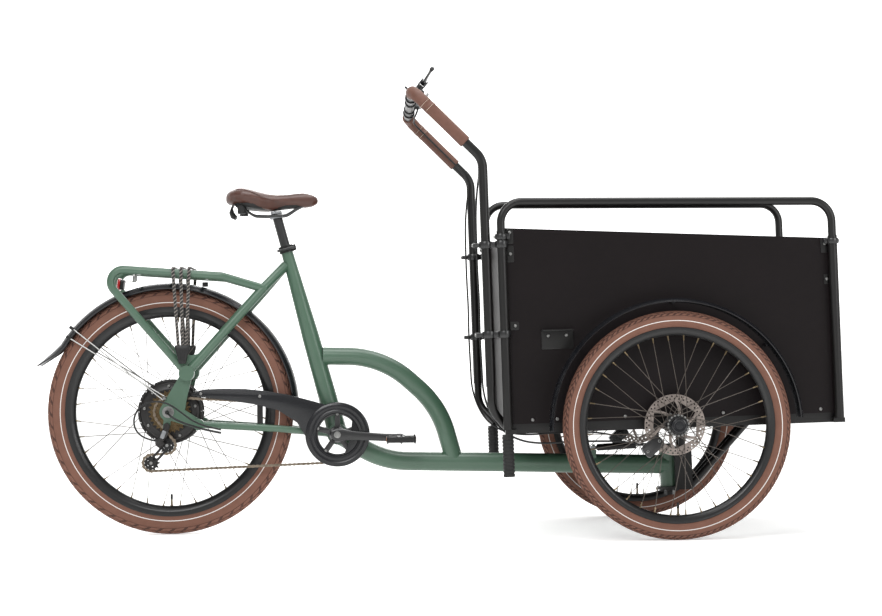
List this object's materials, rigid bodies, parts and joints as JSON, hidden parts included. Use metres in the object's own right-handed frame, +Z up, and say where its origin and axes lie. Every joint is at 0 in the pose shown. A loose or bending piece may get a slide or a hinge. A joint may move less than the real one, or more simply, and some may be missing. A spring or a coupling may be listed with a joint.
{
  "type": "cargo bicycle",
  "caption": "Box tricycle with one driven rear wheel and a steering front module that carries an open cargo box between two wheels.",
  "frame": {"origin": "on the ground under the middle of the whole bike", "axes": "+X forward, +Y to the rider's left, +Z up"},
  "size_m": [2.1764, 0.882, 1.2599],
  "materials": {
    "frame_green": "satin powder coat",
    "black_steel": "satin black powder coat",
    "black_plywood": "film-faced plywood, fine satin",
    "brown_tyre": "moulded rubber",
    "black_rim": "black anodised",
    "motor_black": "satin",
    "steel_silver": "zinc plated",
    "chain_steel": "oiled",
    "brown_leather": "smooth",
    "black_plastic": "moulded",
    "gloss_black": "glossy",
    "black_rubber": "matt",
    "red_lens": "clear red",
    "strap_webbing": "woven elastic",
    "black_alloy": "dark anodised"
  },
  "bodies": {
    "rear_frame": {"seat_tube": "frame_green", "arch_tube": "frame_green", "main_tube": "frame_green", "bottom_bracket_shell": "frame_green", "chainstays": "frame_green", "seatstays": "frame_green", "dropouts": "frame_green", "rear_rack": "frame_green", "rear_mudguard": "black_plastic", "rear_light": "red_lens", "luggage_straps": "strap_webbing", "rear_axle": "steel_silver", "derailleur_body": "black_plastic", "derailleur_cage": "black_plastic", "chain": "chain_steel", "chain_guard": "gloss_black", "rear_cables": "black_rubber", "seat_clamp": "black_steel"},
    "saddle_post": {"seatpost": "black_steel", "saddle_base": "black_plastic", "saddle_cover": "brown_leather"},
    "clamp_lever": {"clamp_lever": "black_steel"},
    "rear_wheel": {"rear_tyre": "brown_tyre", "rear_rim": "black_rim", "motor_hub": "motor_black"},
    "freewheel": {"freewheel": "chain_steel"},
    "upper_pulley": {"upper_pulley": "black_plastic"},
    "lower_pulley": {"lower_pulley": "black_plastic"},
    "crankset": {"chainring": "black_alloy", "crank_arms": "black_alloy"},
    "pedal_right": {"pedal_right": "black_plastic"},
    "pedal_left": {"pedal_left": "black_plastic"},
    "front_module": {"pivot_bracket": "black_steel", "front_chassis": "black_steel", "box_floor": "black_plywood", "box_panels": "black_plywood", "corner_posts": "black_steel", "box_fittings": "black_steel", "front_mudguards": "black_plastic", "stop_posts": "black_rubber", "brake_calipers": "black_alloy", "bar_uprights": "black_steel", "front_cables": "black_rubber"},
    "steering_damper": {"steering_damper": "steel_silver"},
    "damper_rod": {"damper_rod": "steel_silver"},
    "top_rail_right": {"top_rail_right": "black_steel"},
    "top_rail_left": {"top_rail_left": "black_steel"},
    "handlebar": {"handlebar_tube": "black_steel", "grips": "brown_leather", "control_mounts": "black_plastic"},
    "brake_lever_right": {"brake_lever_right": "black_alloy"},
    "brake_lever_left": {"brake_lever_left": "black_alloy"},
    "shift_lever": {"shift_lever": "black_plastic"},
    "bell_lever": {"bell_lever": "black_plastic"},
    "right_wheel": {"right_tyre": "brown_tyre", "right_rim": "black_rim", "right_hub": "steel_silver"},
    "left_wheel": {"left_tyre": "brown_tyre", "left_rim": "black_rim", "left_hub": "steel_silver"}
  },
  "joints": [
    {"name": "steering", "type": "hinge", "parent": "rear_frame", "child": "front_module", "pos_m": [0.66827, 0, 0.102], "axis": [-0.0244, 0, 0.9997], "range_deg": [-28, 28]},
    {"name": "rear_wheel_spin", "type": "hinge", "parent": "rear_frame", "child": "rear_wheel", "pos_m": [-0.72073, 0, 0.34], "axis": [0, 1, 0], "continuous": true},
    {"name": "crank_spin", "type": "hinge", "parent": "rear_frame", "child": "crankset", "pos_m": [-0.25773, 0, 0.272], "axis": [0, 1, 0], "continuous": true},
    {"name": "freewheel_spin", "type": "hinge", "parent": "rear_frame", "child": "freewheel", "pos_m": [-0.72073, 0, 0.34], "axis": [0, 1, 0], "continuous": true},
    {"name": "upper_pulley_spin", "type": "hinge", "parent": "rear_frame", "child": "upper_pulley", "pos_m": [-0.72673, 0, 0.248], "axis": [0, 1, 0], "continuous": true},
    {"name": "lower_pulley_spin", "type": "hinge", "parent": "rear_frame", "child": "lower_pulley", "pos_m": [-0.77073, 0, 0.2], "axis": [0, 1, 0], "continuous": true},
    {"name": "pedal_right_spin", "type": "hinge", "parent": "crankset", "child": "pedal_right", "pos_m": [-0.08316, -0.125, 0.25979], "axis": [0, 1, 0], "continuous": true},
    {"name": "pedal_left_spin", "type": "hinge", "parent": "crankset", "child": "pedal_left", "pos_m": [-0.4323, 0.125, 0.28421], "axis": [0, 1, 0], "continuous": true},
    {"name": "saddle_height", "type": "slide", "parent": "rear_frame", "child": "saddle_post", "axis": [-0.2598, 0, 0.9657], "range_m": [-0.05, 0.12]},
    {"name": "clamp_lever_open", "type": "hinge", "parent": "rear_frame", "child": "clamp_lever", "pos_m": [-0.37322, -0.013, 0.79354], "axis": [-0.2598, 0, 0.9657], "range_deg": [0, 100]},
    {"name": "right_wheel_spin", "type": "hinge", "parent": "front_module", "child": "right_wheel", "pos_m": [0.63127, -0.395, 0.298], "axis": [0, 1, 0], "continuous": true},
    {"name": "top_rail_right_lift", "type": "slide", "parent": "front_module", "child": "top_rail_right", "axis": [-0.0244, 0, 0.9997], "range_m": [0, 0.12]},
    {"name": "left_wheel_spin", "type": "hinge", "parent": "front_module", "child": "left_wheel", "pos_m": [0.63127, 0.395, 0.298], "axis": [0, 1, 0], "continuous": true},
    {"name": "top_rail_left_lift", "type": "slide", "parent": "front_module", "child": "top_rail_left", "axis": [-0.0244, 0, 0.9997], "range_m": [-0.042, 0.078]},
    {"name": "handlebar_height", "type": "slide", "parent": "front_module", "child": "handlebar", "axis": [-0.0244, 0, 0.9997], "range_m": [0, 0.1]},
    {"name": "brake_lever_right_pull", "type": "hinge", "parent": "handlebar", "child": "brake_lever_right", "pos_m": [-0.01292, -0.174, 1.22696], "axis": [0.7666, 0, -0.6421], "range_deg": [0, 22], "stiffness_Nm_per_rad": 1.2, "springref_deg": -6.88},
    {"name": "brake_lever_left_pull", "type": "hinge", "parent": "handlebar", "child": "brake_lever_left", "pos_m": [-0.01292, 0.174, 1.22696], "axis": [-0.7666, 0, 0.6421], "range_deg": [0, 22], "stiffness_Nm_per_rad": 1.2, "springref_deg": -6.88},
    {"name": "shift_lever_turn", "type": "hinge", "parent": "handlebar", "child": "shift_lever", "pos_m": [-0.03603, -0.075, 1.19936], "axis": [0.6421, 0, 0.7666], "range_deg": [-30, 30]},
    {"name": "bell_lever_push", "type": "hinge", "parent": "handlebar", "child": "bell_lever", "pos_m": [-0.02897, 0.052, 1.20779], "axis": [0.6421, 0, 0.7666], "range_deg": [0, 25], "stiffness_Nm_per_rad": 0.1, "springref_deg": -5.73},
    {"name": "damper_swing", "type": "hinge", "parent": "rear_frame", "child": "steering_damper", "pos_m": [0.45127, -0.052, 0.226], "axis": [0, 0, 1], "range_deg": [-6, 6]},
    {"name": "damper_extend", "type": "slide", "parent": "steering_damper", "child": "damper_rod", "axis": [0.9785, -0.198, 0.0582], "range_m": [-0.0432, 0.0432]}
  ],
  "couplings": [
    {"joint": "freewheel_spin", "follows": "crank_spin", "ratio": 1.9},
    {"joint": "lower_pulley_spin", "follows": "crank_spin", "ratio": 3.4545},
    {"joint": "upper_pulley_spin", "follows": "crank_spin", "ratio": -3.4545},
    {"joint": "damper_swing", "follows": "steering", "ratio": -0.195},
    {"joint": "damper_extend", "follows": "steering", "m_per_rad": 0.0875}
  ]
}
